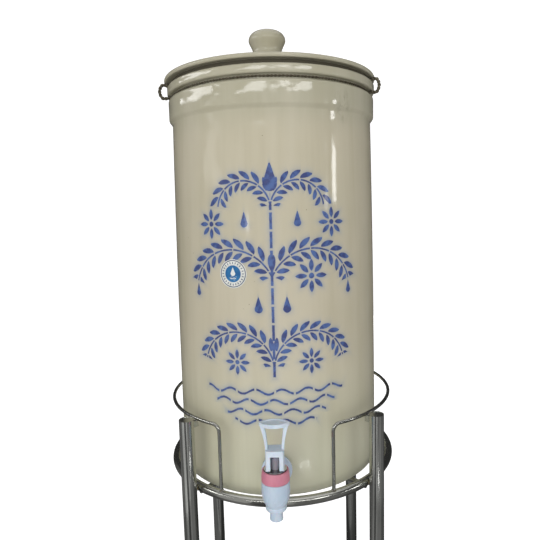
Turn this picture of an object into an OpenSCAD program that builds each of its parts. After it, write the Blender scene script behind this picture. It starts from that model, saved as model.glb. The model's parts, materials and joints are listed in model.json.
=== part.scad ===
// Two-chamber gravity water filter in glazed stoneware, with a lever tap,
// on a welded tube stand. Millimetres, +Z up, origin on the floor under the
// middle of the stand's ring. The tap faces -Y.

/* [Stand] */
// Height of the cross bars' top, which the crock stands on, above the floor
stand_h = 300; // [220:5:420]
// Diameter of a leg tube
leg_d = 17.5; // [12:0.5:22]
// Wall of a leg tube
leg_wall = 1.2; // [0.8:0.1:2.5]
// Height of a leg's top above the cross bars' top
leg_rise = 92; // [91:1:130]
// Angle of a leg from the front-to-back line
leg_angle = 44; // [38:1:52]
// Diameter of the ring's tube
ring_tube_d = 11; // [8:0.5:14]
// Depth of the ring's underside below the cross bars' top
ring_drop = 1.2; // [0.6:0.2:2]
// Gap between the crock's foot and the ring's tube when they are centred
ring_play = 8; // [7:0.5:12]
// Diameter of a cross bar
bar_d = 6.5; // [6:0.5:12]
// Diameter of the guard hoop's wire
hoop_wire_d = 4.25; // [3:0.25:6]
// Height of the hoop wire's middle above the cross bars' top
hoop_rise = 89; // [75:1:90]
// Angle from the front at which the hoop starts to bend down
hoop_open_angle = 30; // [27:1:32]
// Turn of the hoop's opening from the front
hoop_turn = -3; // [-3:0.5:3]
// Radius of the hoop's downward bends, at the wire's middle
hoop_bend_r = 9; // [5:0.5:14]
// Thickness of the tab that joins a leg to the hoop
web_t = 2; // [1.2:0.2:3]
// Height of that tab
web_h = 8; // [5:0.5:14]
// Length of leg that a foot cap covers
foot_grip = 20; // [12:1:30]
// Wall of a foot cap
foot_wall = 1.8; // [1.2:0.2:3]
// Thickness of a foot cap under the leg
foot_floor = 4; // [2:0.5:8]
// Thickness of the disc that closes a leg's top
plug_depth = 3; // [1.5:0.5:10]
// Depth of a disc's face below the leg's top
plug_recess = 0.3; // [0.2:0.1:2]

/* [Crock] */
// Height of the crock without the upper vessel
crock_h = 473; // [400:1:560]
// Outer radius of the crock at its foot
crock_foot_r = 132.5; // [115:0.5:150]
// How much narrower the crock is under its collar than at its foot
crock_taper = 3.75; // [0:0.25:4]
// How far the crock's wall swells past a straight line at mid-height
crock_belly = 1.3; // [0:0.1:1.6]
// Thickness of the crock's wall at its foot
crock_wall = 12.5; // [10:0.5:14]
// Thickness of the crock's floor
crock_floor = 12; // [8:0.5:13]
// How far the crock's collar stands out from the wall under it
collar_out = 4; // [3:0.5:7]
// Height of the crock's collar, with the slope under it
collar_h = 32; // [20:1:50]
// Height of the slope under the collar
collar_slope_h = 7.5; // [4:0.5:12]
// Rounding of the collar's top edge
collar_round = 4; // [2:0.5:5]
// Chamfer of the crock's foot
foot_chamfer = 2; // [1:0.5:4]
// Rounding inside the crock's foot
crock_fillet = 3; // [1:0.5:6]
// Chamfer of the crock's mouth
mouth_chamfer = 2; // [1:0.25:2.5]
// Clearance kept between the crock's foot and the ring where it stands nearest
crock_rest_gap = 1.2; // [0.6:0.2:4]
// Side of the ring that the crock stands nearest to, counted from +X
crock_rest_angle = 125; // [0:5:355]
// Turn of the crock on its stand
crock_turn = -1.2; // [-4:0.2:4]

/* [Upper vessel] */
// Gap between the upper vessel and the crock's bore
vessel_gap = 3.5; // [2:0.5:6]
// Wall of the upper vessel
vessel_wall = 8; // [6:0.5:10]
// Depth of the upper vessel below the crock's top
vessel_depth = 225; // [180:5:260]
// Thickness of the upper vessel's floor
vessel_floor = 10; // [7:0.5:14]
// Rounding of the upper vessel's lower edge
vessel_edge_round = 6; // [3:0.5:8]
// Rounding inside the upper vessel's foot
vessel_fillet = 5; // [3:0.5:8]
// Rounding of the upper vessel's mouth
mouth_round = 2; // [1:0.25:3]
// Depth of the groove between the crock and the vessel's rim, from the rim's edge
groove_depth = 7.5; // [6.5:0.25:8.5]
// How far the vessel's rim stands out past the crock's collar
rim_over = 1; // [0:0.25:3]
// Height of the vessel's rim
rim_h = 10.1; // [8:0.1:16]
// Rounding of the rim's edges
rim_round = 2.2; // [1:0.1:4]
// Diameter of the wire in the groove
neck_wire_d = 2.6; // [1.6:0.1:3.6]
// Diameter of one strand of a lifting ear
strand_d = 2.1; // [1.6:0.1:2.3]
// Clearance round the bundle of two strands, in the groove and over the rim
strand_gap = 0.2; // [0.2:0.05:0.5]
// How far the middle of the left ear stands out from the rim's edge
ear_left_out = 9.4; // [8:0.2:16]
// How far the middle of the right ear stands out from the rim's edge
ear_right_out = 8.2; // [4.4:0.2:16]
// How far an ear bows past its two ends
ear_swell = 2.4; // [0:0.2:2.6]
// Turn of the left ear towards the front
ear_left_turn = 14; // [0:1:20]
// Turn of the right ear towards the front
ear_right_turn = 18; // [0:1:20]
// Turns of the two strands round each other in an ear
ear_turns = 4.5; // [3:0.5:7]

/* [Lid] */
// How far the lid's edge stands out past the vessel's rim
lid_over = 2; // [0.5:0.25:3]
// Thickness of the lid's edge
lid_edge_t = 5; // [4:0.2:8]
// Gap between the vessel's rim and the lid's edge
lid_gap = 5.3; // [5.1:0.1:8]
// Width of the seat that the lid rests on, inside its edge
lid_seat_in = 8; // [6:0.5:10]
// Slope of the lid's cone
lid_slope = 0.3; // [0.2:0.02:0.5]
// Thickness of the lid's cone
lid_t = 8; // [6:0.5:12]
// Depth of the ring under the lid that keeps it centred
lid_spigot_h = 8; // [4:0.5:14]
// Gap between that ring and the vessel's mouth
lid_spigot_gap = 2.5; // [1:0.5:3]
// Width of that ring
lid_spigot_w = 8; // [5:0.5:12]
// Radius of the knob's neck
knob_neck_r = 18.8; // [12:0.2:22]
// Radius of the knob at its widest
knob_r = 24; // [23:0.2:30]
// Height of the knob above the cone
knob_h = 31.5; // [24:0.5:45]
// How far the knob stands off the lid's middle, to the left
knob_off = 2.6; // [0:0.2:3]

/* [Filter candles] */
// Distance between the two candles' middles
candle_pitch = 92; // [70:2:120]
// Radius of a candle's ceramic shell
candle_r = 24; // [18:0.5:30]
// Height of a candle's ceramic shell
candle_h = 130; // [90:5:180]
// Wall of a candle's ceramic shell
candle_wall = 7; // [4:0.5:10]
// Radius of a candle's base
candle_base_r = 27; // [25:0.5:33]
// Height of a candle's base
candle_base_h = 14; // [8:0.5:20]
// Radius of a candle's threaded stud
stud_r = 5; // [4:0.25:7]
// Radius of the hole down a stud
stud_hole_r = 2; // [1:0.25:3]
// Length of a stud under the vessel
stud_drop = 24; // [18:1:40]
// Clearance of a stud in the vessel's floor
stud_gap = 1; // [0.5:0.1:2]
// Thickness of a candle's washers
washer_t = 2; // [1:0.25:4]
// Radius of a candle's washers
washer_r = 14; // [10:0.5:20]
// Radius of a wing nut's hub
wing_hub_r = 8.5; // [7.5:0.25:12]
// Height of a wing nut's hub
wing_hub_h = 9; // [6:0.5:14]
// Length of a nut's wing from the stud's middle
wing_reach = 17; // [14:0.5:24]
// Thickness of a nut's wing
wing_t = 3; // [2:0.25:5]
// How far a nut's wing hangs under its hub
wing_drop = 4; // [2:0.5:8]

/* [Tap] */
// Height of the tap's shank above the crock's foot
tap_rise = 35.5; // [31:0.5:60]
// Distance from the crock's wall to the barrel's middle
tap_reach = 47; // [46:0.5:70]
// Radius of the tap's shank
shank_r = 8; // [7:0.25:8.5]
// Radius of the water way in the shank
shank_bore_r = 5; // [3.5:0.25:5.5]
// Clearance of the shank in the crock's hole
shank_gap = 0.8; // [0.4:0.1:2]
// Radius of the tap's flange
flange_r = 17.8; // [15:0.2:19]
// Thickness of the tap's flange
flange_t = 3.6; // [2.5:0.1:6]
// Radius of the two sealing washers
seal_r = 15.5; // [12:0.5:16]
// Thickness of a sealing washer at its middle
seal_t = 2.5; // [2:0.25:5]
// Distance across the lock nut's corners
nut_d = 31; // [26:0.5:32]
// Thickness of the lock nut
nut_t = 9; // [5:0.5:14]
// Length of shank behind the lock nut
shank_tail = 6; // [3:0.5:14]
// Height of the spout's mouth from the shank's middle, downwards
spout_drop = 33.2; // [32:0.2:50]
// Outer radius of the spout
spout_r = 6.9; // [6.2:0.1:8]
// Extra radius of the spout's lip
spout_flare = 0.4; // [0.1:0.1:1]
// Radius of the spout's bore
spout_bore_r = 4.6; // [3:0.1:5]
// Length of the spout
spout_h = 12; // [6:0.2:16]
// Radius of the step ring under the barrel
step_r = 11.3; // [10:0.1:12]
// Height of the step ring
step_h = 4.4; // [2:0.2:5]
// Radius of the barrel at its widest
barrel_r = 15.4; // [15:0.1:18]
// Radius of the barrel at its foot
barrel_foot_r = 10.5; // [9:0.1:12]
// Thickness of the barrel's floor at the valve's seat
barrel_floor = 4.5; // [3:0.1:6]
// Height of the slope from the valve's seat to the chamber's wall
seat_slope_h = 2; // [1:0.1:3]
// Rounding of the spout's lip and of the step ring's foot
lip_round = 0.8; // [0.4:0.1:1]
// Length of the fillet between the flange and the shank
flange_fillet = 5; // [3:0.5:8]
// Radius of the barrel's chamber
chamber_r = 10.5; // [10:0.1:11]
// Height of the collar nut's foot above the shank's middle
nut_foot = 11; // [8.6:0.2:14]
// Height of the collar nut
collar_nut_h = 12.4; // [12:0.2:20]
// Radius of the collar nut's top
collar_nut_top_r = 14.3; // [14:0.1:16]
// Length of the threaded neck inside the collar nut
neck_h = 8; // [6:0.2:9.4]
// Wall of the threaded neck
neck_wall = 2.8; // [2:0.1:3]
// Thickness of the guide's flange, which the collar nut holds down
guide_flange_t = 2; // [1.4:0.1:3]
// Radius of the guide above its flange
guide_r = 12.4; // [11.8:0.1:12.6]
// How far the guide stands above the collar nut
guide_proud = 0.8; // [0.6:0.1:3]

/* [Valve and handle] */
// Radius of the valve stem
stem_r = 4.4; // [3.5:0.1:4.5]
// Height of the hinge pin above the guide
pin_rise = 10.4; // [9:0.2:14]
// Radius of the hinge pin
pin_r = 1.5; // [1.2:0.1:2]
// Radial clearance of running fits
run_gap = 0.06; // [0.02:0.01:0.1]
// Angle through which the handle is pulled to open the tap
open_angle = 35; // [20:1:40]
// Lift of the valve for each radian of the handle
cam_rate = 4.6; // [3.5:0.1:5]
// Radius of the valve's rubber plug
plug_seal_r = 7.6; // [6.5:0.1:9]
// Height of the valve's rubber plug
plug_seal_h = 6; // [4:0.2:8]
// Radius of the stem's spring seat
spring_seat_r = 9; // [8.6:0.1:9.5]
// Thickness of the stem's spring seat
spring_seat_t = 2; // [1.5:0.1:3]
// Thickness of the ring that seals the stem
stem_seal_t = 2.4; // [1.6:0.1:3]
// Diameter of the spring's wire
spring_wire_d = 1.1; // [0.8:0.1:1.4]
// Turns of the spring
spring_turns = 5.5; // [4:0.5:8]
// Side clearance between the stem and the handle's cheeks
cheek_gap = 0.3; // [0.15:0.05:0.5]
// Half the width of the handle's fork
fork_half_w = 9.9; // [9:0.1:12]
// Depth of the fork behind the hinge pin
fork_back = 5.5; // [5:0.1:8]
// Height of the fork's top above the hinge pin
fork_top = 13.3; // [12:0.1:18]
// Height of the fork's window above the hinge pin
window_top = 6.8; // [5.6:0.1:10]
// Height of the finger pad's top above the hinge pin
pad_rise = 42; // [34:0.5:55]
// Width of the finger pad
pad_w = 32.5; // [30:0.5:40]
// Depth of the finger pad
pad_d = 18; // [12:0.5:20]
// How far the pad and arms stand in front of the hinge pin
pad_forward = 2.5; // [0:0.5:3]
// Thickness of the finger pad
pad_t = 4.2; // [3:0.2:7]
// Depth of the hollow in the finger pad
pad_dish = 1.1; // [0.5:0.1:1.8]
// Width of the pad's rim round its hollow
pad_rim = 2.2; // [1.5:0.1:4]
// Width of an arm of the handle at its foot
arm_w = 2.9; // [2.2:0.1:4]
// Width of an arm of the handle at the pad
arm_head_w = 4.9; // [3.5:0.1:6]
// Front-to-back depth of an arm of the handle
arm_d = 7; // [5:0.5:9]

/* [Hidden] */
$fn = 96;

weld_gap = 0.1;                    // gap left between pieces that a weld joins
seat_gap = 0.1;                    // gap under a piece that rests on another
eps = 0.01;                        // overlap of cutting shapes past a face

// stand
leg_r = leg_d / 2;
ring_tube_r = ring_tube_d / 2;
ring_r = crock_foot_r + ring_play + ring_tube_r;
ring_z = stand_h - ring_drop + ring_tube_r;
leg_place_r = ring_r + ring_tube_r + weld_gap + leg_r;
leg_top = stand_h + leg_rise;
bar_end_r = ring_r - ring_tube_r / 4;
hoop_z = stand_h + hoop_rise;
hoop_r = ring_r;
hoop_wire_r = hoop_wire_d / 2;
foot_cap_r = leg_r + run_gap + foot_wall;
leg_angles = [-90 - leg_angle, -90 + leg_angle, 90 + leg_angle, 90 - leg_angle];

// crock
crock_base_z = stand_h + seat_gap;
crock_neck_r = crock_foot_r - crock_taper;
crock_bore_r = crock_foot_r - crock_wall;
collar_r = crock_neck_r + collar_out;
crock_off = ring_play - crock_rest_gap;
crock_x = crock_off * cos(crock_rest_angle);
crock_y = crock_off * sin(crock_rest_angle);
collar_slope_z = crock_h - collar_h;

// upper vessel, heights above the crock's foot
rim_r = collar_r + rim_over;
groove_r = rim_r - groove_depth;
vessel_r = crock_bore_r - vessel_gap;
mouth_r = vessel_r - vessel_wall;
vessel_base_z = crock_h - vessel_depth;
vessel_floor_z = vessel_base_z + vessel_floor;
vessel_seat_z = crock_h + seat_gap;
strand_r = strand_d / 2;
wind_r = strand_r + 0.12;          // strands' middles, from the ear's middle line
bundle_r = wind_r + strand_r;
rim_z = vessel_seat_z + 2 * (bundle_r + strand_gap);
rim_top_z = rim_z + rim_h;
neck_wire_r = neck_wire_d / 2;
ear_low_z = vessel_seat_z + strand_gap + bundle_r;
ear_high_z = rim_top_z + strand_gap + bundle_r;
ear_low_r = groove_r + neck_wire_d + 2 * strand_gap;

// lid
lid_r = rim_r + lid_over;
lid_off = lid_spigot_gap / 2;      // the lid lies half its play to the left
lid_seat_r = lid_r - lid_seat_in;
ear_high_r = lid_seat_r + lid_off + 2 * strand_gap;
lid_seat_z = rim_top_z + seat_gap;
lid_edge_z = rim_top_z + lid_gap;
lid_top_z = lid_edge_z + lid_edge_t;
cone_r = lid_r - lid_edge_t / 2;
knob_z = lid_top_z + lid_slope * (cone_r - knob_neck_r);
knob_top_z = knob_z + knob_h;

// candles
candle_seat_z = vessel_floor_z + washer_t;
candle_sides = [-1, 1];

// tap, heights above the crock's foot
tap_wall_r = wall_r(tap_rise);
tap_y = -tap_wall_r - tap_reach;
flange_y = -tap_wall_r - seal_t;
nut_y = -crock_bore_r + seal_t;
shank_end_y = nut_y + nut_t + shank_tail;
spout_z = tap_rise - spout_drop;
step_z = spout_z + spout_h;
barrel_z = step_z + step_h;
collar_nut_z = tap_rise + nut_foot;
collar_nut_top_z = collar_nut_z + collar_nut_h;
neck_r = chamber_r + neck_wall;
neck_top_z = collar_nut_z + neck_h;
guide_z = neck_top_z + seat_gap;
guide_top_z = collar_nut_top_z + guide_proud;
guide_flange_r = neck_r;
valve_seat_z = barrel_z + barrel_floor;
chamber_z = valve_seat_z + seat_slope_h;
stem_foot_z = valve_seat_z + seat_gap + plug_seal_h;
spring_foot_z = stem_foot_z + spring_seat_t;
stem_seal_z = guide_z - stem_seal_t;
spring_r = (stem_r + chamber_r) / 2;
pin_z = guide_top_z + pin_rise;
cam_gap = 0.05;
cam_low = pin_rise - cam_gap;
slot_half = stem_r + cheek_gap;
arm_step = 0.2;                    // arm's foot outside the fork's side
arm_inset = 0.9;                   // arm's head inside the pad's corner
arm_root = 1;                      // arm's length sunk into the fork's top
pad_r = (pow(pad_w / 2, 2) + pow(pad_d / 2, 2)) / pad_d;

// Outer radius of the crock's wall at a height above its foot
function wall_r(z) = let (t = z / collar_slope_z)
    crock_foot_r - crock_taper * t + 4 * crock_belly * t * (1 - t);

// Points of an arc about a centre
function arc(c, r, a0, a1, n = 8) =
    [for (i = [0:n]) let (a = a0 + (a1 - a0) * i / n) c + r * [cos(a), sin(a)]];

// Points of a smooth S-shaped step between two points of a profile
function s_step(p, q, n = 10) =
    [for (i = [0:n]) let (t = i / n)
        [p[0] + (q[0] - p[0]) * (1 - cos(180 * t)) / 2, p[1] + (q[1] - p[1]) * t]];

// Points of the cam under the handle's cheeks: its distance from the hinge
// pin grows evenly with the handle's angle, so it is an involute
function cam_points(n = 10) =
    [for (i = [0:n]) let (a = open_angle * i / n, h = cam_low + cam_rate * a * PI / 180)
        [-h * sin(a) - cam_rate * cos(a), -h * cos(a) + cam_rate * sin(a)]];
cam_curve = cam_points();
fork_front = -cam_curve[len(cam_curve) - 1][0];

// Faces of a tube made of rings of points
function tube_faces(rings, sides) = concat(
    [[for (j = [sides - 1:-1:0]) j]],
    [[for (j = [0:sides - 1]) (rings - 1) * sides + j]],
    [for (i = [0:rings - 2]) for (j = [0:sides - 1]) let (k = (j + 1) % sides)
        [i * sides + j, i * sides + k, (i + 1) * sides + k]],
    [for (i = [0:rings - 2]) for (j = [0:sides - 1]) let (k = (j + 1) % sides)
        [i * sides + j, (i + 1) * sides + k, (i + 1) * sides + j]]);

// Steel of the stand, and where the crock and what it carries stand on it
module steel() { color("lightslategray") children(); }
module on_stand() { translate([crock_x, crock_y, crock_base_z]) rotate([0, 0, crock_turn]) children(); }
module at_tap() { on_stand() translate([0, tap_y, 0]) children(); }
module at_pin() { at_tap() translate([0, 0, pin_z]) children(); }
module at_legs(place_r) {
    for (a = leg_angles) rotate([0, 0, a]) translate([place_r, 0, 0]) children();
}
module at_candles(side) { on_stand() translate([side * candle_pitch / 2, 0, 0]) children(); }

// A round tube or rod bent to an arc about Z
module bent_rod(bend_r, rod_r, angle = 360) {
    rotate_extrude(angle = angle) translate([bend_r, 0]) circle(r = rod_r, $fn = 32);
}

// A washer or plain ring along +Z
module washer(r, hole_r, t) {
    difference() {
        cylinder(r = r, h = t);
        translate([0, 0, -1]) cylinder(r = hole_r, h = t + 2);
    }
}

// ---- stand ----

module support_ring() {
    steel() translate([0, 0, ring_z]) bent_rod(ring_r, ring_tube_r);
}

// One wire: a rising end at each side of the tap, joined round the back. Its
// opening is a little off the front, as a bent wire's is
module guard_hoop() {
    sweep = 360 - 2 * hoop_open_angle;
    post_h = hoop_z - hoop_bend_r - (ring_z + ring_tube_r + weld_gap);
    steel() translate([0, 0, hoop_z]) rotate([0, 0, hoop_turn]) {
        rotate([0, 0, -90 + hoop_open_angle]) bent_rod(hoop_r, hoop_wire_r, sweep);
        for (s = [-1, 1]) mirror([s < 0 ? 1 : 0, 0, 0])
            rotate([0, 0, -90 + hoop_open_angle]) translate([hoop_r, 0, -hoop_bend_r]) {
                rotate([0, -90, 180]) bent_rod(hoop_bend_r, hoop_wire_r, 90);
                translate([0, -hoop_bend_r, -post_h]) cylinder(r = hoop_wire_r, h = post_h);
            }
    }
}

module leg(angle) {
    leg_z = foot_floor;
    steel() rotate([0, 0, angle]) translate([leg_place_r, 0, leg_z])
        washer(leg_r, leg_r - leg_wall, leg_top - leg_z);
}
module leg_front_left() { leg(leg_angles[0]); }
module leg_front_right() { leg(leg_angles[1]); }
module leg_rear_left() { leg(leg_angles[2]); }
module leg_rear_right() { leg(leg_angles[3]); }

// Short upright tabs under the hoop, between it and the legs
module leg_webs() {
    web_in = hoop_r - hoop_wire_r;
    web_out = leg_place_r - leg_r - weld_gap;
    web_top = hoop_z - hoop_wire_r - weld_gap;
    steel() at_legs(0) translate([web_in, -web_t / 2, web_top - web_h])
        cube([web_out - web_in, web_t, web_h]);
}

module leg_plugs() {
    steel() at_legs(leg_place_r) translate([0, 0, leg_top - plug_recess - plug_depth])
        cylinder(r = leg_r - leg_wall - run_gap, h = plug_depth);
}

module foot_caps() {
    color("black") at_legs(leg_place_r) difference() {
        cylinder(r = foot_cap_r, h = foot_floor + foot_grip);
        translate([0, 0, foot_floor]) cylinder(r = leg_r + run_gap, h = foot_grip + 1);
    }
}

// A rod inside the ring, from side to side or from the long rod to a side,
// its ends cut to fit the ring's tube
module bar(angle, from_r) {
    rotate([0, 0, angle]) translate([from_r, 0, stand_h - bar_d / 2]) rotate([0, 90, 0])
        cylinder(r = bar_d / 2 - weld_gap / 2, h = bar_end_r - from_r);
}
module ring_clearance() {
    translate([0, 0, ring_z]) bent_rod(ring_r, ring_tube_r + weld_gap);
}
module cross_bar_long() {
    steel() difference() {
        bar(leg_angles[0], -bar_end_r);
        ring_clearance();
    }
}
module cross_bar_halves() {
    steel() difference() {
        union() {
            bar(leg_angles[1], 0);
            bar(leg_angles[2], 0);
        }
        ring_clearance();
        rotate([0, 0, leg_angles[0]]) translate([-ring_r, 0, stand_h - bar_d / 2])
            rotate([0, 90, 0]) cylinder(r = bar_d / 2 + weld_gap, h = 2 * ring_r);
    }
}

// ---- crock ----

// The crock's outer form, grown by a gap, with no hollow
module crock_form(gap = 0, fine = 128) {
    rotate_extrude($fn = fine) polygon(concat(
        [[0, 0], [crock_foot_r - foot_chamfer + gap, 0], [crock_foot_r + gap, foot_chamfer]],
        [for (i = [1:7]) let (z = collar_slope_z * i / 8) [wall_r(z) + gap, z]],
        s_step([crock_neck_r + gap, collar_slope_z],
               [collar_r + gap, collar_slope_z + collar_slope_h]),
        arc([collar_r - collar_round, crock_h - collar_round], collar_round + gap, 0, 90),
        [[0, crock_h + gap]]));
}

module crock() {
    color("wheat") on_stand() difference() {
        crock_form();
        rotate_extrude($fn = 128) polygon(concat(
            [[0, crock_floor]],
            arc([crock_bore_r - crock_fillet, crock_floor + crock_fillet], crock_fillet, -90, 0, 4),
            [[crock_bore_r, crock_h - mouth_chamfer],
             [crock_bore_r + mouth_chamfer + 1, crock_h + 1], [0, crock_h + 1]]));
        translate([0, 0, tap_rise]) rotate([90, 0, 0])
            cylinder(r = shank_r + shank_gap, h = tap_wall_r + 10);
    }
}

// ---- tap ----

// Barrel, spout, shank and flange, one moulding
module tap_body() {
    barrel_mid_z = tap_rise;
    barrel = [for (i = [0:12]) let (z = barrel_z + (barrel_mid_z - barrel_z) * i / 12,
                                    t = (barrel_mid_z - z) / (barrel_mid_z - barrel_z))
        [barrel_r - (barrel_r - barrel_foot_r) * pow(t, 2.1), z]];
    color("aliceblue") at_tap() difference() {
        union() {
            rotate_extrude() polygon(concat(
                [[0, spout_z]],
                arc([spout_r + spout_flare - lip_round, spout_z + lip_round], lip_round, -90, 0, 4),
                [[spout_r, spout_z + spout_h / 2], [spout_r, step_z]],
                arc([step_r - lip_round, step_z + lip_round], lip_round, -90, 0, 4),
                [[step_r, barrel_z - lip_round], [barrel_foot_r, barrel_z]],
                barrel,
                [[barrel_r - 0.2, collar_nut_z - seat_gap], [neck_r, collar_nut_z - seat_gap],
                 [neck_r, neck_top_z], [0, neck_top_z]]));
            translate([0, 0, tap_rise]) rotate([-90, 0, 0]) {
                cylinder(r = shank_r, h = shank_end_y - tap_y);
                translate([0, 0, flange_y - flange_t - tap_y]) cylinder(r = flange_r, h = flange_t);
                translate([0, 0, flange_y - flange_t - flange_fillet - tap_y])
                    cylinder(r1 = shank_r, r2 = shank_r + flange_fillet / 2, h = flange_fillet);
            }
        }
        rotate_extrude() polygon([
            [0, spout_z - 1], [spout_bore_r, spout_z - 1], [spout_bore_r, valve_seat_z],
            [plug_seal_r + 1, valve_seat_z], [chamber_r, chamber_z],
            [chamber_r, neck_top_z + 1], [0, neck_top_z + 1]]);
        translate([0, 0, tap_rise]) rotate([-90, 0, 0])
            cylinder(r = shank_bore_r, h = shank_end_y - tap_y + 1);
    }
}

// Coloured nut that holds the stem's guide on the barrel's neck
module collar_nut() {
    lip_z = guide_z + guide_flange_t + seat_gap;
    color("palevioletred") at_tap() rotate_extrude() polygon([
        [neck_r + seat_gap, collar_nut_z], [barrel_r - 0.6, collar_nut_z],
        [barrel_r - 0.1, collar_nut_z + 0.5], [barrel_r - 0.2, collar_nut_z + collar_nut_h / 2],
        [collar_nut_top_r, collar_nut_top_z - 0.6], [collar_nut_top_r - 0.6, collar_nut_top_z],
        [guide_r + seat_gap, collar_nut_top_z], [guide_r + seat_gap, lip_z],
        [neck_r + seat_gap, lip_z]]);
}

// Guide that the stem slides in, and that the handle's cams press on
module stem_guide() {
    color("silver") at_tap() rotate_extrude() polygon([
        [stem_r + run_gap, guide_z], [guide_flange_r, guide_z],
        [guide_flange_r, guide_z + guide_flange_t], [guide_r, guide_z + guide_flange_t],
        [guide_r, guide_top_z - 0.4], [guide_r - 0.4, guide_top_z],
        [stem_r + run_gap, guide_top_z]]);
}

// Ring that seals the stem under its guide
module stem_seal() {
    color("black") at_tap() translate([0, 0, stem_seal_z - seat_gap])
        washer(chamber_r - seat_gap, stem_r + run_gap, stem_seal_t);
}

// Rubber between the tap's flange and the crock's round wall
module outer_seal() {
    color("gray") on_stand() difference() {
        translate([0, flange_y + seat_gap / 2, tap_rise]) rotate([-90, 0, 0])
            washer(seal_r, shank_r + seat_gap, seal_t + 4);
        crock_form(seat_gap, 480);
    }
}

// Rubber between the crock's bore and the lock nut
module inner_seal() {
    color("gray") on_stand() intersection() {
        translate([0, nut_y - seal_t - 4, tap_rise]) rotate([-90, 0, 0])
            washer(seal_r, shank_r + seat_gap, seal_t + 4 - seat_gap / 2);
        cylinder(r = crock_bore_r - seat_gap, h = crock_h, $fn = 480);
    }
}

module lock_nut() {
    color("aliceblue") on_stand() translate([0, nut_y, tap_rise]) rotate([-90, 0, 0]) difference() {
        rotate([0, 0, 30]) cylinder(d = nut_d, h = nut_t, $fn = 6);
        translate([0, 0, -1]) cylinder(r = shank_r + seat_gap, h = nut_t + 2);
    }
}

// Spring that holds the valve shut
module valve_spring() {
    sides = 6;
    steps = round(spring_turns * 16);
    wire_r = spring_wire_d / 2;
    low = spring_foot_z + wire_r + seat_gap;
    high = stem_seal_z - 2 * seat_gap - wire_r;
    rings = [for (i = [0:steps]) let (a = 360 * spring_turns * i / steps, z = low + (high - low) * i / steps)
        for (j = [0:sides - 1]) let (b = 360 * j / sides, r = spring_r + wire_r * cos(b))
            [r * cos(a), r * sin(a), z + wire_r * sin(b)]];
    color("silver") at_tap() polyhedron(rings, tube_faces(steps + 1, sides), convexity = 8);
}

module valve_stem() {
    color("lightgray") at_tap() difference() {
        union() {
            translate([0, 0, stem_foot_z]) cylinder(r = spring_seat_r, h = spring_foot_z - stem_foot_z);
            translate([0, 0, stem_foot_z]) cylinder(r = stem_r, h = pin_z - stem_foot_z);
            translate([0, 0, stem_foot_z - plug_seal_h / 2]) cylinder(r = stem_r / 2, h = plug_seal_h);
            translate([0, 0, pin_z]) sphere(r = stem_r);
        }
        translate([-stem_r - 1, 0, pin_z]) rotate([0, 90, 0])
            cylinder(r = pin_r + run_gap, h = 2 * stem_r + 2);
    }
}

// Rubber plug that shuts the spout
module valve_plug() {
    foot_z = valve_seat_z + seat_gap;
    color("darkgray") at_tap() difference() {
        rotate_extrude() polygon([
            [0, foot_z], [plug_seal_r - 1, foot_z], [plug_seal_r, foot_z + 1],
            [plug_seal_r, foot_z + plug_seal_h - 1.5], [plug_seal_r - 1.5, stem_foot_z - eps],
            [0, stem_foot_z - eps]]);
        translate([0, 0, stem_foot_z - plug_seal_h / 2 - seat_gap])
            cylinder(r = stem_r / 2 + seat_gap, h = plug_seal_h);
    }
}

// ---- handle ----

// Outline of an arm's outer (out = 1) or inner (out = 0) edge, from foot to pad:
// it splays outwards, more steeply near the pad
function arm_edge(side, out, n = 10) = [for (i = [0:n]) let (t = i / n,
        foot_x = fork_half_w + arm_step - (1 - out) * arm_w,
        head_x = pad_w / 2 - arm_inset - (1 - out) * arm_head_w,
        bow = out == 1 ? 1.7 : 1.5,
        foot_z = fork_top - arm_root,
        x = foot_x + (head_x - foot_x) * pow(t, bow),
        z = foot_z + (pad_rise - pad_t / 2 - foot_z) * t)
    [side * x, z]];
function backwards(list) = [for (i = [len(list) - 1:-1:0]) list[i]];

module lens(r, half_d, h) {
    intersection() {
        translate([0, r - half_d, 0]) cylinder(r = r, h = h);
        translate([0, half_d - r, 0]) cylinder(r = r, h = h);
    }
}

// Fork with two cams, two arms and a finger pad, one moulding
module tap_handle() {
    bevel = 1.1;
    color("aliceblue") at_pin() difference() {
        union() {
            translate([-fork_half_w, 0, 0]) rotate([90, 0, 90]) linear_extrude(2 * fork_half_w)
                polygon(concat([[fork_back, -cam_low]], cam_curve,
                               [[-fork_front, fork_top], [fork_back, fork_top]]));
            for (s = [-1, 1]) translate([0, arm_d / 2 - pad_forward, 0]) rotate([90, 0, 0])
                linear_extrude(arm_d)
                    polygon(concat(arm_edge(s, 1), backwards(arm_edge(s, 0))));
            translate([0, -pad_forward, pad_rise - pad_t]) lens(pad_r, pad_d / 2, pad_t);
        }
        translate([-slot_half, -fork_front - 1, -cam_low - 1])
            cube([2 * slot_half, fork_front + fork_back + 2, window_top + cam_low + 1]);
        for (s = [-1, 1]) translate([s * fork_half_w, -fork_front, -cam_low - 1])
            linear_extrude(fork_top + cam_low + 2)
                polygon([[-s * bevel, -eps], [s * eps, -eps], [s * eps, 2.4 * bevel]]);
        translate([0, -pad_forward, pad_rise - pad_dish])
            lens(pad_r - pad_rim, pad_d / 2 - pad_rim, pad_dish + 1);
        translate([-fork_half_w - 1, 0, 0]) rotate([0, 90, 0])
            cylinder(r = pin_r + run_gap, h = 2 * fork_half_w + 2);
    }
}

module hinge_pin() {
    half = fork_half_w - 0.4;
    color("silver") at_pin() translate([-half, 0, 0]) rotate([0, 90, 0])
        cylinder(r = pin_r, h = 2 * half);
}

// ---- upper vessel ----

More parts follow.
